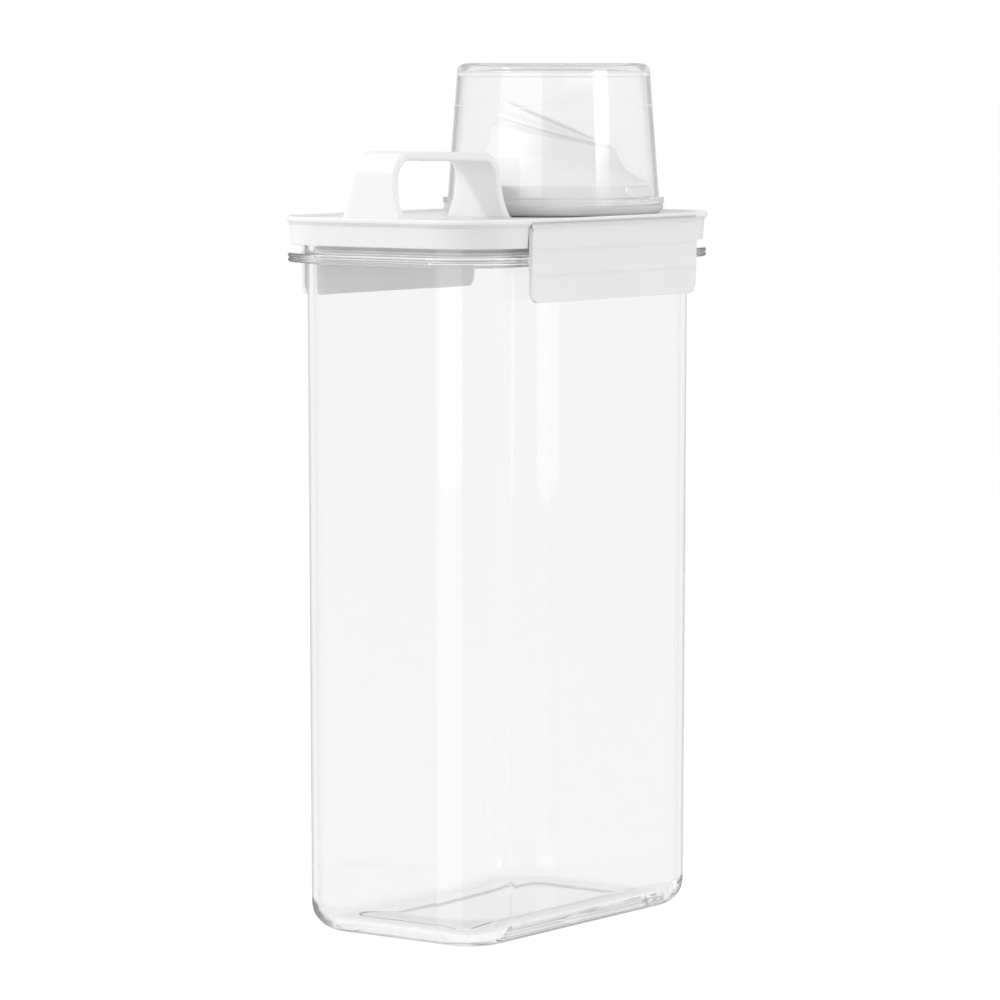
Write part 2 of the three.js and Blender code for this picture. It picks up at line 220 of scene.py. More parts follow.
def corner_angles(radius, centre_x):
    """Angles along one corner. Two of them stand either side of the gap at a latch's end."""
    near = LATCH_HALF + LATCH_GAP - centre_x
    far = near + LATCH_END_STEP
    last = math.acos(min(far / radius, 1))
    angles = [last * step / CORNER_STEPS for step in range(CORNER_STEPS + 1)]
    return angles + [math.acos(min(near / radius, 1)), math.pi / 2]


def outline_points(outline, offset):
    """Points of the rounded rectangle that lies `offset` outside the outline, anticlockwise."""
    half_x, half_y, corner = outline
    radius = corner + offset
    centre_x, centre_y = half_x - corner, half_y - corner
    if half_x == HALF_X:
        angles = corner_angles(radius, centre_x)
    else:
        count = CORNER_STEPS + 2
        angles = [math.pi / 2 * step / count for step in range(count + 1)]
    quarter = [(centre_x + radius * math.cos(a), centre_y + radius * math.sin(a)) for a in angles]
    back = quarter[::-1]
    return (
        quarter
        + [(-x, y) for x, y in back]
        + [(-x, -y) for x, y in quarter]
        + [(x, -y) for x, y in back]
    )


def outline_rows(outline, profile):
    """One closed row of points for each (offset, height) point of the profile."""
    rows = []
    for offset, height in profile:
        rows.append([(x, y, height) for x, y in outline_points(outline, offset)])
    return rows


def round_rows(profile):
    """One circle of points round the spout's axis for each (radius, height) point."""
    rows = []
    for radius, height in profile:
        circle = arc(SPOUT_X, 0, radius, 0, math.tau, ROUND_STEPS)[:-1]
        rows.append([(x, y, height) for x, y in circle])
    return rows


# ---------------------------------------------------------------- meshes

def loft_faces(rows, is_ring):
    """Quads between rows. Unless the rows make a ring, the first and last are capped."""
    count = len(rows[0])
    faces = []
    for row in range(len(rows) if is_ring else len(rows) - 1):
        above = (row + 1) % len(rows)
        for column in range(count):
            beside = (column + 1) % count
            faces.append((
                row * count + column,
                row * count + beside,
                above * count + beside,
                above * count + column,
            ))
    if not is_ring:
        faces.append(tuple(range(count)))
        faces.append(tuple((len(rows) - 1) * count + column for column in range(count)))
    return faces


def mesh_object(name, rows, is_ring=False):
    """A closed object made of rows of points in millimetres."""
    mesh = bpy.data.meshes.new(name)
    points = [Vector(point) * MM for row in rows for point in row]
    mesh.from_pydata(points, [], loft_faces(rows, is_ring))
    turn_faces_outwards(mesh)
    piece = bpy.data.objects.new(name, mesh)
    bpy.context.scene.collection.objects.link(piece)
    return piece


def turn_faces_outwards(mesh):
    """Merges doubled points and turns every face outwards."""
    cleaned = bmesh.new()
    cleaned.from_mesh(mesh)
    bmesh.ops.remove_doubles(cleaned, verts=cleaned.verts, dist=1e-7)
    bmesh.ops.recalc_face_normals(cleaned, faces=cleaned.faces)
    cleaned.to_mesh(mesh)
    cleaned.free()


def box_object(name, low, high):
    """A plain box, which cuts an opening."""
    (x0, y0, z0), (x1, y1, z1) = low, high
    rows = [[(x0, y0, z), (x1, y0, z), (x1, y1, z), (x0, y1, z)] for z in (z0, z1)]
    return mesh_object(name, rows)


def cut(piece, cutters):
    """Cuts closed objects out of a piece, and removes them."""
    for cutter in cutters:
        modifier = piece.modifiers.new("cut", "BOOLEAN")
        modifier.operation = "DIFFERENCE"
        modifier.solver = "EXACT"
        modifier.object = cutter
    apply_modifiers(piece)
    for cutter in cutters:
        bpy.data.objects.remove(cutter)


def apply_modifiers(piece):
    """Replaces a piece's mesh by the one that its modifiers make."""
    evaluated = piece.evaluated_get(bpy.context.evaluated_depsgraph_get())
    mesh = bpy.data.meshes.new_from_object(evaluated)
    piece.modifiers.clear()
    piece.data = mesh


def bevel(piece, width, segments=2):
    """Rounds the sharp edges that are left."""
    modifier = piece.modifiers.new("rounded edges", "BEVEL")
    modifier.width = width * MM
    modifier.segments = segments
    modifier.limit_method = "ANGLE"
    modifier.angle_limit = BEVEL_ANGLE
    modifier.use_clamp_overlap = True
    apply_modifiers(piece)


def shade(piece, material):
    """Shades a piece smooth, apart from its sharp edges, and gives it its material."""
    piece.data.shade_smooth()
    piece.data.set_sharp_from_angle(angle=SMOOTH_ANGLE)
    piece.data.materials.clear()
    piece.data.materials.append(material)


def finish_piece(piece, node, body, material):
    """Shades a piece and lets it stand for its CAD node."""
    shade(piece, material)
    weights = piece.modifiers.new("even shading", "WEIGHTED_NORMAL")
    weights.mode = "FACE_AREA"
    weights.keep_sharp = True
    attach(piece, body)
    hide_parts(node)


# ---------------------------------------------------------------- materials

def colour_ramp(tree, factor, stops):
    """A colour ramp through (position, colour) stops."""
    ramp = tree.nodes.new("ShaderNodeValToRGB")
    tree.links.new(factor, ramp.inputs["Fac"])
    elements = ramp.color_ramp.elements
    while len(elements) < len(stops):
        elements.new(0.5)
    for element, (position, colour) in zip(elements, stops):
        element.position = position
        element.color = (*colour, 1)
    return ramp.outputs["Color"]


class Recipe:
    """A node material that is built round one Principled shader."""

    def __init__(self, name):
        self.material = bpy.data.materials.new(name)
        self.material.use_nodes = True
        self.tree = self.material.node_tree
        self.shader = self.tree.nodes["Principled BSDF"]
        self.place = self.node("ShaderNodeTexCoord").outputs["Object"]

    def node(self, kind, **inputs):
        made = self.tree.nodes.new(kind)
        for name, value in inputs.items():
            made.inputs[name.replace("_", " ")].default_value = value
        return made

    def link(self, output, target):
        self.tree.links.new(output, target)

    def set(self, **values):
        for name, value in values.items():
            self.shader.inputs[name.replace("_", " ")].default_value = value

    def noise(self, scale, detail=2.0, stretch=(1, 1, 1)):
        """Noise over the object's own space. The scale is in cells per metre."""
        mapping = self.node("ShaderNodeMapping", Scale=stretch)
        self.link(self.place, mapping.inputs["Vector"])
        texture = self.node("ShaderNodeTexNoise", Scale=scale, Detail=detail)
        self.link(mapping.outputs["Vector"], texture.inputs["Vector"])
        return texture.outputs["Fac"]

    def spread(self, factor, low, high):
        """Turns noise, which keeps near its middle, into a value from low to high."""
        ranged = self.node("ShaderNodeMapRange", From_Min=0.3, From_Max=0.7)
        ranged.inputs["To Min"].default_value = low
        ranged.inputs["To Max"].default_value = high
        self.link(factor, ranged.inputs["Value"])
        return ranged.outputs["Result"]

    def colour(self, factor, stops):
        """Colours the shader by a ramp through (position, colour) stops."""
        self.link(colour_ramp(self.tree, factor, stops), self.shader.inputs["Base Color"])

    def roughness(self, factor, low, high):
        """Varies the shader's roughness from low to high by noise."""
        self.link(self.spread(factor, low, high), self.shader.inputs["Roughness"])

    def let_lamps_through(self, tint):
        """Lets the light that falls on what is behind clear plastic pass through it unbent."""
        path = self.node("ShaderNodeLightPath")
        lamp_rays = self.node("ShaderNodeMath")
        lamp_rays.operation = "MAXIMUM"
        self.link(path.outputs["Is Shadow Ray"], lamp_rays.inputs[0])
        self.link(path.outputs["Is Diffuse Ray"], lamp_rays.inputs[1])
        clear = self.node("ShaderNodeBsdfTransparent", Color=tint)
        mix = self.node("ShaderNodeMixShader")
        self.link(lamp_rays.outputs["Value"], mix.inputs["Fac"])
        self.link(self.shader.outputs["BSDF"], mix.inputs[1])
        self.link(clear.outputs["BSDF"], mix.inputs[2])
        self.link(mix.outputs["Shader"], self.tree.nodes["Material Output"].inputs["Surface"])

    def bump(self, layers):
        """Stacks bump layers of (height, strength, distance in millimetres)."""
        normal = None
        for height, strength, distance in layers:
            bump = self.node("ShaderNodeBump", Strength=strength, Distance=distance * MM)
            self.link(height, bump.inputs["Height"])
            if normal is not None:
                self.link(normal, bump.inputs["Normal"])
            normal = bump.outputs["Normal"]
        self.link(normal, self.shader.inputs["Normal"])


def white_plastic(name, dark, light):
    """Moulded polypropylene: off white, satin, with a fine grain and a slight unevenness."""
    recipe = Recipe(name)
    recipe.colour(recipe.noise(38, detail=3), [(0.35, dark), (0.65, light)])
    recipe.roughness(recipe.noise(420, detail=4), 0.36, 0.46)
    grain = recipe.noise(2600, detail=2)
    flow = recipe.noise(55, detail=1)
    recipe.bump([(flow, 0.25, 0.12), (grain, 0.16, 0.03)])
    recipe.set(IOR=1.49, Subsurface_Weight=0.4, Subsurface_Radius=(1.0, 0.98, 0.96))
    recipe.set(Subsurface_Scale=2.4 * MM)
    return recipe.material


def silicone(name, dark, light):
    """Soft moulded silicone: matt, slightly dusty, with a fine bloom."""
    recipe = Recipe(name)
    recipe.colour(recipe.noise(90, detail=4), [(0.35, dark), (0.65, light)])
    recipe.roughness(recipe.noise(700, detail=3), 0.5, 0.66)
    recipe.bump([(recipe.noise(1900, detail=2), 0.2, 0.03)])
    recipe.set(IOR=1.42, Subsurface_Weight=0.15, Subsurface_Radius=(1.0, 1.0, 1.0))
    recipe.set(Subsurface_Scale=1.2 * MM)
    return recipe.material


def clear_plastic(name, centre, middle, edge, haze):
    """Clear styrene. Its tint deepens towards grazing angles, partly the deeper tint where light runs
    along the wall and partly painted shade that darkens its edges into thin dark lines.
    """
    recipe = Recipe(name)
    facing = recipe.node("ShaderNodeLayerWeight", Blend=0.5).outputs["Facing"]
    # painted shade: the ramp's edge stop darkens grazing angles into dark lines along the edges,
    # beyond the real deeper tint there
    recipe.colour(facing, [(0.0, centre), (0.45, middle), (0.97, edge)])
    recipe.roughness(recipe.noise(30, detail=3), 0.5 * haze, 1.5 * haze)
    flow = recipe.noise(14, detail=1, stretch=(1, 1, 0.25))
    recipe.bump([(flow, 0.02, 0.4)])
    recipe.set(IOR=1.5, Transmission_Weight=1.0)
    recipe.let_lamps_through((0.995, 0.995, 0.995, 1))
    return recipe.material


WHITE = white_plastic("white_polypropylene", (0.81, 0.815, 0.815), (0.84, 0.843, 0.842))
SPOUT_WHITE = white_plastic("spout_polypropylene", (0.8, 0.803, 0.803), (0.83, 0.832, 0.83))
RING_GREY = silicone("grey_silicone", (0.53, 0.535, 0.54), (0.59, 0.595, 0.6))
GASKET_GREY = silicone("gasket_silicone", (0.72, 0.725, 0.73), (0.78, 0.785, 0.79))
# Both edge tints are partly painted shade, which darkens the clear plastic's edges into thin dark
# lines.
CLEAR = clear_plastic(
    "clear_styrene",
    centre=(0.96, 0.962, 0.961),
    middle=(0.945, 0.948, 0.948),
    edge=(0.7, 0.71, 0.715),
    haze=0.02,
)
CUP_CLEAR = clear_plastic(
    "cup_styrene",
    centre=(0.945, 0.948, 0.948),
    middle=(0.925, 0.928, 0.929),
    edge=(0.85, 0.855, 0.86),
    haze=0.06,
)


# ---------------------------------------------------------------- container

def tucked(rows):
    """Pulls the flange back under the latches, so that they hang flush with the lid's lip."""
    limit = HALF_Y + FLANGE_REACH_AT_LATCH
    reach = LATCH_HALF + LATCH_GAP + LATCH_END_STEP / 2
    slack = 0.1
    pulled = []
    for row in rows:
        is_flange = FLANGE_BOTTOM - slack < row[0][2] < FLANGE_TOP + slack
        if is_flange:
            row = [(x, max(-limit, min(limit, y)) if abs(x) < reach else y, z) for x, y, z in row]
        pulled.append(row)
    return pulled


def container_profile():
    """The container's cross-section, from its base up its outside and down its inside."""
    quarter = math.pi / 2
    bead_centre = FLANGE_REACH - BEAD_RADIUS
    lower_bead = FLANGE_BOTTOM + BEAD_RADIUS
    upper_bead = FLANGE_TOP - BEAD_RADIUS
    neck_top = container_high.z
    inside = -WALL - DRAFT - INNER_FOOT_RADIUS
    outside = [
        *arc(-DRAFT - FOOT_RADIUS, FOOT_RADIUS, FOOT_RADIUS, -quarter, 0, 10),
        *rounded([(0, BODY_MIDDLE), (0, FLANGE_BOTTOM, 0.7), (bead_centre, FLANGE_BOTTOM)])[1:-1],
        *arc(bead_centre, lower_bead, BEAD_RADIUS, -quarter, BEAD_GROOVE, 7),
        *arc(bead_centre, upper_bead, BEAD_RADIUS, -BEAD_GROOVE, quarter, 7),
        *rounded([(3, FLANGE_TOP), (0, FLANGE_TOP, 0.6), (0, NECK_MIDDLE)])[1:-1],
    ]
    rim = rounded([
        (0, NECK_MIDDLE),
        (0, neck_top, 0.7),
        (-WALL, neck_top, 0.6),
        (-WALL, NECK_MIDDLE),
    ])[1:-1]
    bowl = arc(inside, FLOOR + INNER_FOOT_RADIUS, INNER_FOOT_RADIUS, 0, -quarter, 8)
    return outside + rim + bowl


def make_container():
    recess = rounded([(-3, RECESS_DEPTH), (0, RECESS_DEPTH, 0.5), (0.4, 0, 0.5), (3, 0)], 3)[1:-1]
    rows = outline_rows(RECESS_OUTLINE, recess)
    rows += tucked(outline_rows(BODY_OUTLINE, container_profile()))
    piece = mesh_object("clear_container", rows)
    finish_piece(piece, "container", "base", CLEAR)


# ---------------------------------------------------------------- lid

def make_lid_shell():
    underside = LID_TOP - LID_PLATE
    inner = LID_SKIRT - LID_WALL
    profile = rounded([
        (inner - 3, underside),
        (inner, underside, 0.6),
        (inner, lid_low.z, 0.3),
        (LID_SKIRT, lid_low.z, 0.3),
        (LID_SKIRT + 0.15, lid_low.z + 2.4, 3),
        (LID_WAIST - 0.1, LID_RIM - 2.7, 1.2),
        (LID_LIP, LID_RIM - 1.4, 0.5),
        (LID_LIP, LID_RIM, 0.75),
        (LID_LIP - 1.2, LID_RIM, 0.4),
        (LID_LIP - 1.9, LID_TOP, 0.6),
        (LID_LIP - 4.0, LID_TOP),
    ])
    piece = mesh_object("lid_top_and_skirt", outline_rows(BODY_OUTLINE, profile))
    cut(piece, [spout_hole(underside, LID_TOP), latch_opening(-1), latch_opening(1)])
    bevel(piece, LID_EDGE)
    finish_piece(piece, "lid_shell", "lid", WHITE)


def spout_hole(bottom, top):
    """A cylinder that cuts the spout's hole through a plate."""
    past = 5
    return mesh_object("hole", round_rows([(SPOUT_HOLE, bottom - past), (SPOUT_HOLE, top + past)]))


def latch_opening(side):
    """The skirt is open where a latch hangs, and only the lip runs on above it."""
    reach = LATCH_HALF + LATCH_GAP
    near = side * (HALF_Y + LID_SKIRT - LID_WALL - 0.4)
    far = side * (HALF_Y + LID_LIP + 2)
    low = (-reach, min(near, far), lid_low.z - 1)
    high = (reach, max(near, far), LATCH_ROOF)
    return box_object("latch_opening", low, high)


def make_lid_liner():
    floor = liner_low.z
    groove_low, groove_high = gasket_low.z - 0.3, gasket_high.z + 0.3
    inner = LINER_OUTER - LINER_WALL
    profile = rounded([
        (LINER_OUTER - 6, floor),
        (LINER_OUTER, floor, 1.2),
        (LINER_OUTER, groove_low, 0.2),
        (LINER_OUTER - GROOVE_DEPTH, groove_low, 0.15),
        (LINER_OUTER - GROOVE_DEPTH, groove_high, 0.15),
        (LINER_OUTER, groove_high, 0.2),
        (LINER_OUTER, liner_high.z, 0.2),
        (inner, liner_high.z, 0.2),
        (inner, floor + LINER_FLOOR, 1.0),
        (inner - 6, floor + LINER_FLOOR),
    ])
    piece = mesh_object("lid_inner_tray", outline_rows(BODY_OUTLINE, profile))
    cut(piece, [spout_hole(floor, floor)])
    finish_piece(piece, "lid_liner", "lid", WHITE)


def make_lid_gasket():
    """A seal ring with two soft lips, one above the other."""
    seat = LINER_OUTER - GROOVE_DEPTH + 0.3
    contact = gasket_high.x - HALF_X
    low, high = gasket_low.z, gasket_high.z
    middle = (low + high) / 2
    profile = rounded([
        (seat, middle),
        (seat, low, 0.15),
        (contact - 0.7, low, 0.3),
        (contact, low + 0.6, 0.3),
        (contact - 0.9, middle, 0.5),
        (contact, high - 0.6, 0.3),
        (contact - 0.7, high, 0.3),
        (seat, high, 0.15),
        (seat, middle),
    ])[:-1]
    piece = mesh_object("lid_seal", outline_rows(BODY_OUTLINE, profile), is_ring=True)
    finish_piece(piece, "lid_gasket", "lid", GASKET_GREY)


# ---------------------------------------------------------------- latches

def latch_half_length(height):
    """Half the latch's length at a height: its two lower corners are round."""
    below = latch_low.z + LATCH_CORNER - height
    if below <= 0:
        return LATCH_HALF
    return LATCH_HALF - LATCH_CORNER + math.sqrt(max(LATCH_CORNER ** 2 - below ** 2, 0))


def latch_heights():
    """Heights of the rows of points, close together where the shape curves."""
    upper, lower = LATCH_BANDS
    corner = [LATCH_CORNER * (1 - math.cos(math.pi / 2 * step / 10)) for step in range(11)]
    heights = [latch_low.z + rise for rise in corner]
    for start, end in ((lower, upper), (upper, latch_high.z)):
        heights += [start + rise for rise in (-BAND_EDGE, -1.0, -0.7, -0.35, 0, 0.3)]
        heights += [start + (end - start) * step / 6 for step in range(1, 5)]
    heights.append(latch_high.z)
    return sorted(set(heights))


def latch_face(height):
    """How far the outer face stands out: it leans in, in three bands that flare downwards."""
    upper, lower = LATCH_BANDS
    lean = LATCH_LEAN * (latch_high.z - height) / (latch_high.z - latch_low.z)
    dip = 0
    for start, end in ((lower, latch_low.z), (upper, lower)):
        if end <= height <= start:
            share = (height - end) / (start - end)
            rise = 1 - (1 - share) ** 1.8
            edge = min(1, (start - height) / BAND_EDGE)
            dip = SCALLOP * rise * edge * edge * (3 - 2 * edge)
    return LATCH_FACE - lean - dip


def make_latch(side, name, node, body):
    heights = latch_heights()
    inner = LATCH_FACE - LATCH_THICKNESS
    section = [(latch_face(height), height) for height in heights]
    section += [(inner, height) for height in reversed(heights)]
    rows = []
    for step in range(-12, 13):
        share = step / 12
        rows.append([(share * latch_half_length(z), side * y, z) for y, z in section])
    piece = mesh_object(name, rows)
    bevel(piece, LATCH_EDGE, segments=3)
    finish_piece(piece, node, body, WHITE)


def make_hinge_web(side, name):
    """The thin web of plastic that joins a latch to the lip. It is built in its shut shape and does
    not bend.
    """
    face = LATCH_FACE - WEB_INSET
    lip = HALF_Y + LID_LIP - WEB_INSET
    inner = face - WEB_THICKNESS
    bottom, top = latch_high.z - 0.9, LID_RIM - 1.0
    rise_from = bottom + 0.3
    outer = [(face, bottom)]
    for step in range(7):
        share = step / 6
        blend = share * share * (3 - 2 * share)
        outer.append((face + (lip - face) * blend, rise_from + (top - rise_from) * share))
    section = outer + [(inner, z) for y, z in reversed(outer)]
    rows = [[(x, side * y, z) for y, z in section] for x in (-LATCH_HALF, LATCH_HALF)]
    piece = mesh_object(name, rows)
    shade(piece, WHITE)
    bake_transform(piece)


# ---------------------------------------------------------------- carry handle

def handle_path():
    """Points of the strap's centre line, from the foot beside the spout to the other foot."""
    near_x, near_z = HANDLE_NEAR_BEND
    far_x, far_z = HANDLE_FAR_BEND
    radius = HANDLE_BEND - HANDLE_THICKNESS / 2
    crown = math.pi / 2 - math.atan2(near_z - far_z, far_x - near_x)
    far_arc = arc(far_x, far_z, radius, 0, crown, 14)
    near_arc = arc(near_x, near_z, radius, crown, math.pi - HANDLE_SPLAY, 14)
    leg_x, leg_z = near_arc[-1]
    foot = LID_TOP - 0.1
    near_foot = (leg_x - math.tan(HANDLE_SPLAY) * (leg_z - foot), foot)
    return [
        *leg_points((far_x + radius, foot), far_arc[0]),
        *far_arc,
        *between(far_arc[-1], near_arc[0], [step / 12 for step in range(1, 12)]),
        *near_arc,
        *reversed(leg_points(near_foot, near_arc[-1])),
    ]


def leg_points(foot, bend):
    """Points up a leg, close together in the fillet at its foot and evenly above it."""
    rise = bend[1] - foot[1]
    fillet = [HANDLE_FILLET * (1 - math.cos(math.pi / 2 * step / 6)) / rise for step in range(7)]
    start = HANDLE_FILLET / rise
    above = [start + (1 - start) * step / 12 for step in range(1, 12)]
    return between(foot, bend, fillet + above)


def between(start, end, shares):
    """Points on the straight line from start to end, at the given shares of its length."""
    (start_x, start_z), (end_x, end_z) = start, end
    return [(start_x + (end_x - start_x) * t, start_z + (end_z - start_z) * t) for t in shares]


def handle_half_width(height):
    """The strap flares towards its feet."""
    rise = (height - LID_TOP) / (HANDLE_FLARE_TOP - LID_TOP)
    flare = max(0, 1 - rise) ** HANDLE_FLARE_CURVE
    return HANDLE_HALF_WIDTH + (HANDLE_HALF_FOOT - HANDLE_HALF_WIDTH) * flare


def foot_fillet(height):
    """How far the fillet stands out from the leg at a height."""
    below = HANDLE_FILLET - (height - LID_TOP)
    if below <= 0:
        return 0
    return HANDLE_FILLET - math.sqrt(max(HANDLE_FILLET ** 2 - below ** 2, 0))


def make_carry_handle():
    """Sweeps the strap along its path. Its foot stops just inside the lid's lip."""
    path = [Vector(point) for point in handle_path()]
    lid_edge = -(HALF_X + LID_WAIST)
    rows = []
    for index, point in enumerate(path):
        before, after = path[max(index - 1, 0)], path[min(index + 1, len(path) - 1)]
        along = (after - before).normalized()
        outwards = Vector((along.y, -along.x))
        fillet = foot_fillet(point.y)
        half_width = handle_half_width(point.y) + fillet
        section = strap_section(half_width, HANDLE_THICKNESS / 2 + fillet)
        rows.append([
            (max(point.x + outwards.x * depth, lid_edge), across, point.y + outwards.y * depth)
            for across, depth in section
        ])
    piece = mesh_object("carry_handle_strap", rows)
    finish_piece(piece, "carry_handle", "lid", WHITE)


def strap_section(half_width, half_thickness):
    """A flat bar with softly rounded edges, as (across, depth) points."""
    centre_across, centre_depth = half_width - HANDLE_EDGE, half_thickness - HANDLE_EDGE
    points = []
    for quarter, (across, depth) in enumerate([(-1, -1), (1, -1), (1, 1), (-1, 1)]):
        start = math.pi / 2 * (quarter - 2)
        end = start + math.pi / 2
        points += arc(across * centre_across, depth * centre_depth, HANDLE_EDGE, start, end, 4)
    return points


# ---------------------------------------------------------------- spout, ring and cup

def spout_profile():
    """The spout's cross-section, from the sleeve up its outside and down its inside."""
    foot = LID_TOP + 0.3
    return rounded([
        (SLEEVE, spout_low.z + 4),
        (SLEEVE, foot, 0.3),
        (COLLAR, foot, 0.4),
        (COLLAR, COLLAR_TOP, 1.0),
        (COLLAR - 4, COLLAR_TOP + 1.4, 4),
        (COLLAR - 8, COLLAR_TOP + 4.7, 6),
        (COLLAR - 10.7, COLLAR_TOP + 8.9, 6),
        (SHOULDER + 1.6, MOUTH_TOP - 5.1, 0.8),
        (SHOULDER - 0.7, MOUTH_TOP - 4.7, 0.3),
        (SHOULDER - 0.7, MOUTH_TOP - 3.6, 0.3),
        (SHOULDER, MOUTH_TOP - 3.0, 0.3),
        (SHOULDER, MOUTH_TOP - 2.1, 0.4),
        (MOUTH_LIP, MOUTH_TOP - 2.1, 0.2),
        (MOUTH_LIP, MOUTH_TOP, 0.7),
        (MOUTH, MOUTH_TOP, 0.6),
        (MOUTH, MOUTH_TOP - 3.6, 1.0),
        (SHOULDER - 1.4, MOUTH_TOP - 4.4, 1.2),
        (COLLAR - 12.6, COLLAR_TOP + 8.2, 6),
        (COLLAR - 9.3, COLLAR_TOP + 3.6, 6),
        (COLLAR - 5.2, COLLAR_TOP, 3),
        (COLLAR - 1.8, COLLAR_TOP - 1.5, 0.6),
        (COLLAR - SPOUT_WALL, foot + SPOUT_WALL, 0.5),
        (SLEEVE - SPOUT_WALL, foot + SPOUT_WALL, 0.5),
        (SLEEVE - SPOUT_WALL, spout_low.z, 0.3),
        (SLEEVE, spout_low.z, 0.3),
        (SLEEVE, spout_low.z + 4),
    ], 5)[:-1]


def tilted_mouth(rows):
    """Tilts the cone and the lip, faster and faster towards the mouth. The collar stays level."""
    tilted = []
    for row in rows:
        if row[0][2] > COLLAR_TOP - SPOUT_WALL:
            radius = row[0][0] - SPOUT_X
            share = max(0, min(1, (COLLAR - radius) / (COLLAR - MOUTH_LIP)))
            slope = MOUTH_SLOPE * share ** MOUTH_TILT_CURVE
            row = [(x, y, z + slope * uphill(x, y)) for x, y, z in row]
        tilted.append(row)
    return tilted


def uphill(x, y):
    """How far a point lies towards the mouth's high side."""
    return (x - SPOUT_X) * math.cos(MOUTH_RISE_ANGLE) + y * math.sin(MOUTH_RISE_ANGLE)


def make_pour_spout():
    rows = tilted_mouth(round_rows(spout_profile()))
    piece = mesh_object("pour_spout_cone", rows, is_ring=True)
    finish_piece(piece, "pour_spout", "lid", SPOUT_WHITE)


def make_seal_ring():
    foot = ring_low.z
    profile = rounded([
        (RING_INNER, foot + 1),
        (RING_INNER, foot, 0.2),
        (RING_OUTER - 1.7, foot, 0.4),
        (RING_OUTER - 0.55, foot + 0.9, 0.8),
        (RING_OUTER, ring_high.z - 1.1, 0.5),
        (RING_OUTER, ring_high.z, 0.4),
        (RING_INNER, ring_high.z, 0.3),
        (RING_INNER, foot + 1),
    ])[:-1]
    piece = mesh_object("cup_seal", round_rows(profile), is_ring=True)
    finish_piece(piece, "cup_seal_ring", "lid", RING_GREY)


def cup_profile():
    """The cup's cross-section, from the inside of its closed end down to its mouth and back up."""
    top, mouth = cup_high.z, cup_low.z
    inside = top - CUP_WALL
    bead = (CUP_BEAD_TOP - mouth) / 4
    quarter = math.pi / 2
    return [
        *rounded([
            (CUP_TOP_RADIUS - 9, inside),
            (CUP_TOP_RADIUS - CUP_WALL, inside, 2.0),
            (CUP_MOUTH - CUP_WALL, CUP_BEAD_TOP, 6),
            (CUP_MOUTH - CUP_WALL, mouth, 0.5),
            (CUP_BEAD - 1.0, mouth),
        ], 6)[1:-1],
        *arc(CUP_BEAD - bead, mouth + bead, bead, -quarter, math.radians(60), 6),
        *arc(CUP_BEAD - bead, CUP_BEAD_TOP - bead, bead, -math.radians(60), quarter, 6),
        (CUP_MOUTH + 0.25, CUP_BEAD_TOP),
        (CUP_MOUTH + 0.03, CUP_BEAD_TOP + 0.25),
        *[(cup_radius(z), z) for z in (LUG_LOW - 0.3, LUG_LOW, LUG_HIGH, LUG_HIGH + 0.3)],
        *fill_lines(),
        *rounded([(cup_radius(top - 6), top - 6), (CUP_TOP_RADIUS, top, CUP_EDGE), (9, top)], 8)[1:-1],
    ]


def cup_radius(height):
    """The radius of the cup's outer wall, which narrows upwards."""
    slope = (CUP_MOUTH - CUP_TOP_RADIUS) / (cup_high.z - CUP_BEAD_TOP)
    return CUP_TOP_RADIUS + slope * (cup_high.z - height)


def fill_lines():
    """Points that raise each fill line out of the cup's wall."""
    points = []
    for height in FILL_LINES:
        crest = cup_radius(height) + FILL_LINE_RELIEF
        points += [
            (cup_radius(height - 0.5), height - 0.5),
            (crest, height - 0.2),
            (crest, height + 0.2),
            (cup_radius(height + 0.5), height + 0.5),
        ]
    return points


def with_lugs(rows):
    """Raises a short bar on the cup's outer wall, just above the bead, on each long side."""
    half_angle = LUG_HALF_LENGTH / (CUP_MOUTH + LUG_REACH)
    raised = []
    for row in rows:
        radius = math.hypot(row[0][0] - SPOUT_X, row[0][1])
        is_outer = radius > CUP_MOUTH - CUP_WALL / 2
        if is_outer and LUG_LOW <= row[0][2] <= LUG_HIGH:
            row = [lug_point(point, radius, half_angle) for point in row]
        raised.append(row)
    return raised


def lug_point(point, radius, half_angle):
    """Moves a point of the wall out to the lug's face, or part of the way on its sloping ends."""
    x, y, z = point
    from_side = abs(abs(math.atan2(y, x - SPOUT_X)) - math.pi / 2)
    share = max(0, min(1, (half_angle - from_side) / LUG_END_ANGLE))
    grow = 1 + share * ((CUP_MOUTH + LUG_REACH) / radius - 1)
    return SPOUT_X + (x - SPOUT_X) * grow, y * grow, z


def make_measuring_cup():
    rows = with_lugs(round_rows(cup_profile()))
    piece = mesh_object("measuring_cup_shell", rows)
    finish_piece(piece, "measuring_cup", "cup", CUP_CLEAR)


# ---------------------------------------------------------------- studio

VIEW_AZIMUTH = math.radians(-53.45)
VIEW_ELEVATION = math.radians(5.107)
VIEW_DISTANCE = 1.6614
VIEW_TARGET = Vector((0, 0, 0.1414))
LENS = 177.6
SENSOR = 36
LIGHT_DISTANCE = 1.6
LIGHT_BOUNCES = 64           # with fewer, the light inside the clear walls and the base ends black
ROOM_STRENGTH = 1.02
FLOOR_HALF = 30
FLOOR_DROP = 0.0002          # the floor lies this far under the container's foot

# The room's shade, by how far up a direction points and how far it points at the camera
HEIGHT_STOPS = [(-1.0, 0.66), (-0.12, 0.74), (-0.02, 1.0), (0.3, 0.93), (1.0, 0.8)]
FRONT_STOPS = [
    (-1.0, 1.0), (-0.985, 1.0), (-0.965, 0.52), (-0.87, 0.52), (-0.78, 1.0),
    (0.0, 1.0), (0.5, 0.92), (1.0, 0.88),
]


def view_direction(azimuth, elevation):
    """From the object towards a viewer. At azimuth 0 the viewer stands on -Y."""
    flat = math.cos(elevation)
    return Vector((math.sin(azimuth) * flat, -math.cos(azimuth) * flat, math.sin(elevation)))


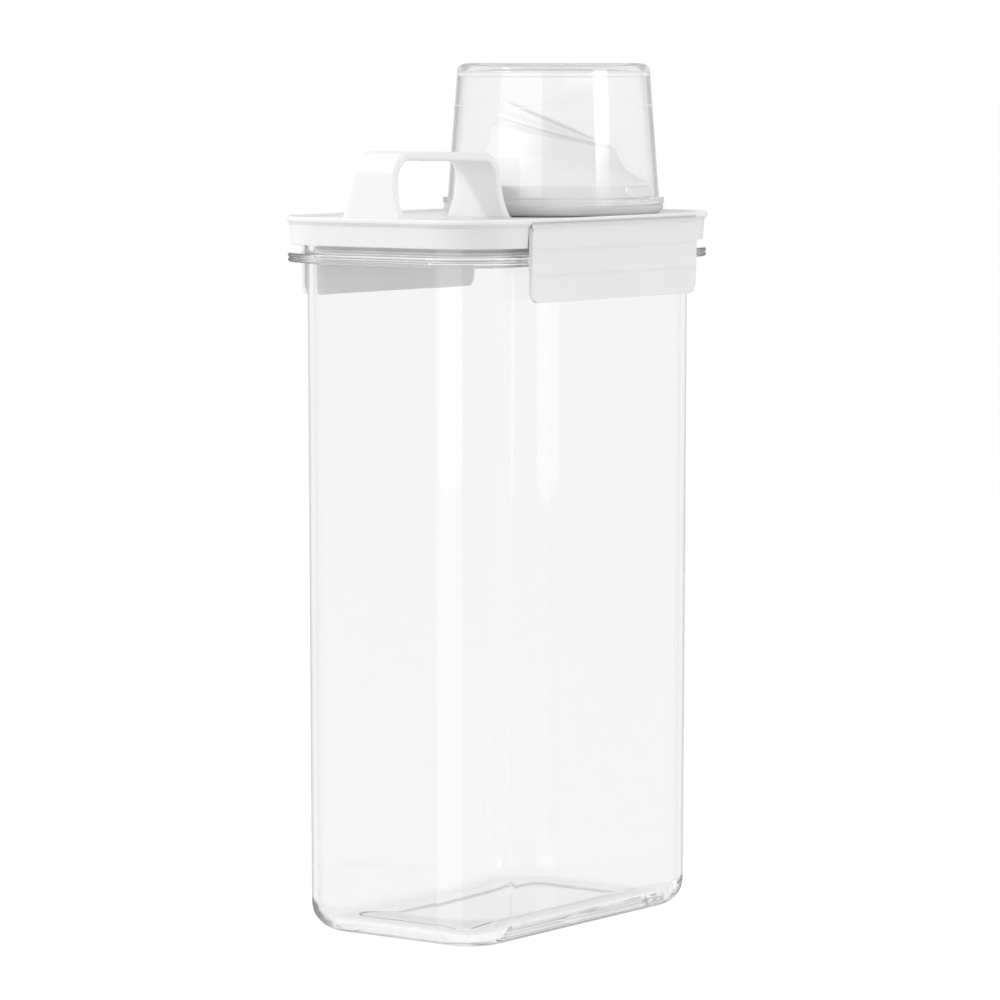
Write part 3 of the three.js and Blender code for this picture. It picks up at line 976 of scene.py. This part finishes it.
def make_camera():
    data = bpy.data.cameras.new("camera")
    data.lens = LENS
    data.sensor_width = SENSOR
    data.clip_end = 200
    camera = bpy.data.objects.new("camera", data)
    towards = view_direction(VIEW_AZIMUTH, VIEW_ELEVATION)
    camera.location = VIEW_TARGET + towards * VIEW_DISTANCE
    camera.rotation_euler = towards.to_track_quat("Z", "Y").to_euler()
    bpy.context.scene.collection.objects.link(camera)
    bpy.context.scene.camera = camera


def softbox(name, azimuth, elevation, size, power):
    """A soft light that looks at the object. Its azimuth is measured from the camera's."""
    data = bpy.data.lights.new(name, "AREA")
    data.shape = "RECTANGLE"
    data.size, data.size_y = size
    data.energy = power
    light = bpy.data.objects.new(name, data)
    towards = view_direction(VIEW_AZIMUTH + math.radians(azimuth), math.radians(elevation))
    light.location = VIEW_TARGET + towards * LIGHT_DISTANCE
    light.rotation_euler = towards.to_track_quat("Z", "Y").to_euler()
    light.visible_camera = False
    bpy.context.scene.collection.objects.link(light)
    return light


def make_floor():
    """A large glowing white floor. It lights nothing and casts no shadow: soft light and reflections
    see the room below it.
    """
    mesh = bpy.data.meshes.new("floor")
    signs = [(-1, -1), (1, -1), (1, 1), (-1, 1)]
    corners = [(FLOOR_HALF * x, FLOOR_HALF * y, -FLOOR_DROP) for x, y in signs]
    mesh.from_pydata(corners, [], [(0, 1, 2, 3)])
    floor = bpy.data.objects.new("floor", mesh)
    floor.visible_diffuse = False
    floor.visible_glossy = False
    floor.visible_shadow = False
    bpy.context.scene.collection.objects.link(floor)
    recipe = Recipe("white_floor")
    recipe.set(Base_Color=(0.12, 0.12, 0.12, 1), Roughness=0.9, Specular_IOR_Level=0.0)
    recipe.set(Emission_Color=(1, 1, 1, 1), Emission_Strength=0.9)
    mesh.materials.append(recipe.material)


def make_world():
    """A white room, dimmer overhead, below and behind the camera. A dark gap rings the backdrop.

    The gap is what draws the thin dark lines along the edges of the clear plastic.
    """
    world = bpy.data.worlds.new("room")
    world.use_nodes = True
    tree = world.node_tree
    place = tree.nodes.new("ShaderNodeTexCoord").outputs["Generated"]
    split = tree.nodes.new("ShaderNodeSeparateXYZ")
    tree.links.new(place, split.inputs["Vector"])
    height = shade_ramp(tree, split.outputs["Z"], HEIGHT_STOPS)
    facing = tree.nodes.new("ShaderNodeVectorMath")
    facing.operation = "DOT_PRODUCT"
    facing.inputs[1].default_value = view_direction(VIEW_AZIMUTH, 0)
    tree.links.new(place, facing.inputs[0])
    side = shade_ramp(tree, facing.outputs["Value"], FRONT_STOPS)
    both = tree.nodes.new("ShaderNodeMath")
    both.operation = "MULTIPLY"
    tree.links.new(height, both.inputs[0])
    tree.links.new(side, both.inputs[1])
    background = tree.nodes["Background"]
    tree.links.new(both.outputs["Value"], background.inputs["Color"])
    background.inputs["Strength"].default_value = ROOM_STRENGTH
    bpy.context.scene.world = world


def shade_ramp(tree, value, stops):
    """A ramp through (value, shade) stops, for a value that runs from -1 to 1."""
    share = tree.nodes.new("ShaderNodeMapRange")
    share.inputs["From Min"].default_value = -1
    tree.links.new(value, share.inputs["Value"])
    greys = [((at + 1) / 2, (grey, grey, grey)) for at, grey in stops]
    return colour_ramp(tree, share.outputs["Result"], greys)


def make_lights():
    """A small key light, two fills, and a wide light that only shiny and clear surfaces show."""
    softbox("key", -66, 40, (0.16, 0.16), 6)
    softbox("right_fill", 58, 21, (0.5, 0.6), 4)
    left_fill = softbox("left_fill", -98, 8, (0.5, 0.8), 5)
    left_fill.visible_glossy = False
    left_fill.visible_transmission = False
    reflection = softbox("left_reflection", -40, 0, (1.6, 2.4), 12)
    reflection.visible_diffuse = False


# ---------------------------------------------------------------- the whole scene

make_container()
make_lid_shell()
make_lid_liner()
make_lid_gasket()
make_latch(-1, "front_latch", "latch_front", "front_flap")
make_latch(1, "back_latch", "latch_back", "back_flap")
make_hinge_web(-1, "front_hinge_web")
make_hinge_web(1, "back_hinge_web")
make_carry_handle()
make_pour_spout()
make_seal_ring()
make_measuring_cup()

make_floor()
make_world()
make_lights()
make_camera()
bpy.context.scene.view_settings.view_transform = "Standard"
cycles = bpy.context.scene.cycles
cycles.max_bounces = LIGHT_BOUNCES
cycles.transmission_bounces = LIGHT_BOUNCES
cycles.glossy_bounces = LIGHT_BOUNCES
